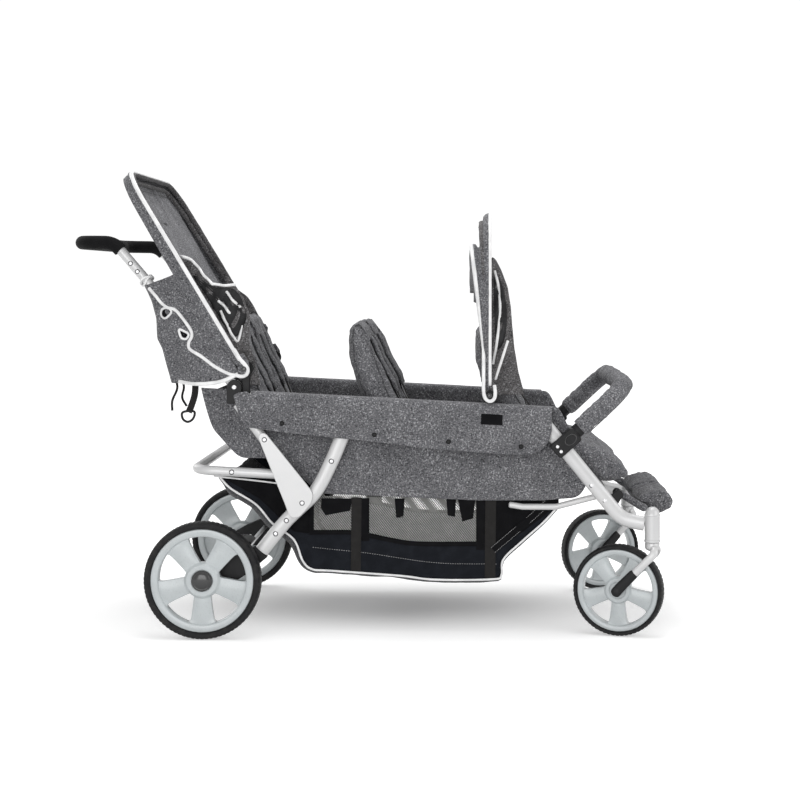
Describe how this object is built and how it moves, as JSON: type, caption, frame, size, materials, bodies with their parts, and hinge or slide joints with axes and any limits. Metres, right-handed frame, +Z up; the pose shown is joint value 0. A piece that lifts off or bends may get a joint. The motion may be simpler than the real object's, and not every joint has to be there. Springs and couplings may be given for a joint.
{
  "type": "stroller",
  "caption": "Long stroller with rows of paired seats in one fabric tub, folding canopies at both ends, padded bumper bar, mesh basket, folding handle and swivel front casters.",
  "frame": {"origin": "on the floor, under the middle of the bounding box", "axes": "+X the way the children face, +Y to the left, +Z up"},
  "size_m": [1.5786, 0.7626, 1.2053],
  "materials": {
    "frame_paint": "light silver satin paint",
    "fabric": "grey heather weave",
    "mesh_fabric": "black cloth with mesh",
    "black_plastic": "fine matt texture",
    "grip_foam": "black foam",
    "rim_plastic": "pale blue-grey gloss",
    "tyre": "black rubber",
    "steel": "bare steel"
  },
  "bodies": {
    "chassis": {"seat_tub": "fabric", "rear_axle": "steel", "storage_basket": "mesh_fabric", "basket_frame_rear": "frame_paint", "basket_frame_front": "frame_paint", "front_canopy_fixed_bow": "black_plastic", "rear_canopy_cloth": "fabric", "front_canopy_cloth": "fabric", "side_rail_left": "frame_paint", "rear_leg_left": "frame_paint", "front_leg_left": "frame_paint", "handle_strut_left": "frame_paint", "fold_hinge_left": "black_plastic", "side_flap_left": "fabric", "rear_foot_left": "black_plastic", "bumper_socket_left": "black_plastic", "caster_housing_left": "frame_paint", "seat_back_rear_left": "fabric", "seat_back_middle_left": "fabric", "seat_back_front_left": "fabric", "side_rail_right": "frame_paint", "rear_leg_right": "frame_paint", "front_leg_right": "frame_paint", "handle_strut_right": "frame_paint", "fold_hinge_right": "black_plastic", "side_flap_right": "fabric", "rear_foot_right": "black_plastic", "bumper_socket_right": "black_plastic", "caster_housing_right": "frame_paint", "seat_back_rear_right": "fabric", "seat_back_middle_right": "fabric", "seat_back_front_right": "fabric", "seat_cushion_rear": "fabric", "seat_cushion_middle": "fabric", "seat_cushion_front": "fabric"},
    "handle": {"handle_tube": "frame_paint", "handle_grip": "grip_foam", "back_cover": "fabric"},
    "rear_canopy_main": {"rear_canopy_main_bow": "black_plastic"},
    "rear_canopy_mid": {"rear_canopy_mid_bow": "black_plastic"},
    "front_canopy_main": {"front_canopy_main_bow": "black_plastic"},
    "front_canopy_mid": {"front_canopy_mid_bow": "black_plastic"},
    "bumper": {"bumper_tube": "frame_paint", "bumper_pad": "fabric"},
    "brake": {"brake_pedal": "black_plastic"},
    "footrest": {"footrest_frame": "frame_paint", "foot_pad_left": "fabric", "foot_pad_right": "fabric"},
    "rear_wheel_left": {"rear_tyre_left": "tyre", "rear_rim_left": "rim_plastic"},
    "caster_left": {"caster_fork_left": "frame_paint"},
    "front_wheel_left": {"front_tyre_left": "tyre", "front_rim_left": "rim_plastic"},
    "button_left": {"release_button_left": "black_plastic"},
    "rear_wheel_right": {"rear_tyre_right": "tyre", "rear_rim_right": "rim_plastic"},
    "caster_right": {"caster_fork_right": "frame_paint"},
    "front_wheel_right": {"front_tyre_right": "tyre", "front_rim_right": "rim_plastic"},
    "button_right": {"release_button_right": "black_plastic"}
  },
  "joints": [
    {"name": "rear_wheel_left_spin", "type": "hinge", "parent": "chassis", "child": "rear_wheel_left", "pos_m": [-0.436, 0.3565, 0.15], "axis": [0, 1, 0], "continuous": true},
    {"name": "caster_left_swivel", "type": "hinge", "parent": "chassis", "child": "caster_left", "pos_m": [0.717, 0.34, 0.2445], "axis": [0, 0, 1], "continuous": true},
    {"name": "front_wheel_left_spin", "type": "hinge", "parent": "caster_left", "child": "front_wheel_left", "pos_m": [0.63241, 0.31574, 0.1175], "axis": [-0.2756, 0.9613, 0], "continuous": true},
    {"name": "button_left_press", "type": "slide", "parent": "chassis", "child": "button_left", "axis": [0, -1, 0], "range_m": [0, 0.003], "stiffness_N_per_m": 600},
    {"name": "rear_wheel_right_spin", "type": "hinge", "parent": "chassis", "child": "rear_wheel_right", "pos_m": [-0.436, -0.3565, 0.15], "axis": [0, 1, 0], "continuous": true},
    {"name": "caster_right_swivel", "type": "hinge", "parent": "chassis", "child": "caster_right", "pos_m": [0.717, -0.34, 0.2445], "axis": [0, 0, 1], "continuous": true},
    {"name": "front_wheel_right_spin", "type": "hinge", "parent": "caster_right", "child": "front_wheel_right", "pos_m": [0.63241, -0.31574, 0.1175], "axis": [0.2756, 0.9613, 0], "continuous": true},
    {"name": "button_right_press", "type": "slide", "parent": "chassis", "child": "button_right", "axis": [0, 1, 0], "range_m": [0, 0.003], "stiffness_N_per_m": 600},
    {"name": "handle_fold", "type": "hinge", "parent": "chassis", "child": "handle", "pos_m": [-0.359, 0, 0.642], "axis": [0, -1, 0], "range_deg": [0, 80], "deforming": ["back_cover"]},
    {"name": "rear_canopy_open", "type": "hinge", "parent": "chassis", "child": "rear_canopy_main", "pos_m": [-0.333, 0, 0.689], "axis": [0, 1, 0], "range_deg": [0, 79], "deforming": ["rear_canopy_cloth"]},
    {"name": "rear_canopy_mid_open", "type": "hinge", "parent": "chassis", "child": "rear_canopy_mid", "pos_m": [-0.333, 0, 0.689], "axis": [0, 1, 0], "range_deg": [0, 48]},
    {"name": "front_canopy_open", "type": "hinge", "parent": "chassis", "child": "front_canopy_main", "pos_m": [0.299, 0, 0.621], "axis": [0, 1, 0], "range_deg": [0, 45.5], "deforming": ["front_canopy_cloth"]},
    {"name": "front_canopy_mid_open", "type": "hinge", "parent": "chassis", "child": "front_canopy_mid", "pos_m": [0.299, 0, 0.621], "axis": [0, 1, 0], "range_deg": [0, 28]},
    {"name": "bumper_pull", "type": "slide", "parent": "chassis", "child": "bumper", "axis": [0.7314, 0, 0.682], "range_m": [0, 0.045]},
    {"name": "brake_press", "type": "hinge", "parent": "chassis", "child": "brake", "pos_m": [-0.361, 0, 0.187], "axis": [0, -1, 0], "range_deg": [0, 20]},
    {"name": "footrest_tilt", "type": "hinge", "parent": "chassis", "child": "footrest", "pos_m": [0.632, 0, 0.363], "axis": [0, -1, 0], "range_deg": [0, 25]}
  ],
  "couplings": [
    {"joint": "rear_canopy_mid_open", "follows": "rear_canopy_open", "ratio": 0.6},
    {"joint": "front_canopy_mid_open", "follows": "front_canopy_open", "ratio": 0.6}
  ]
}
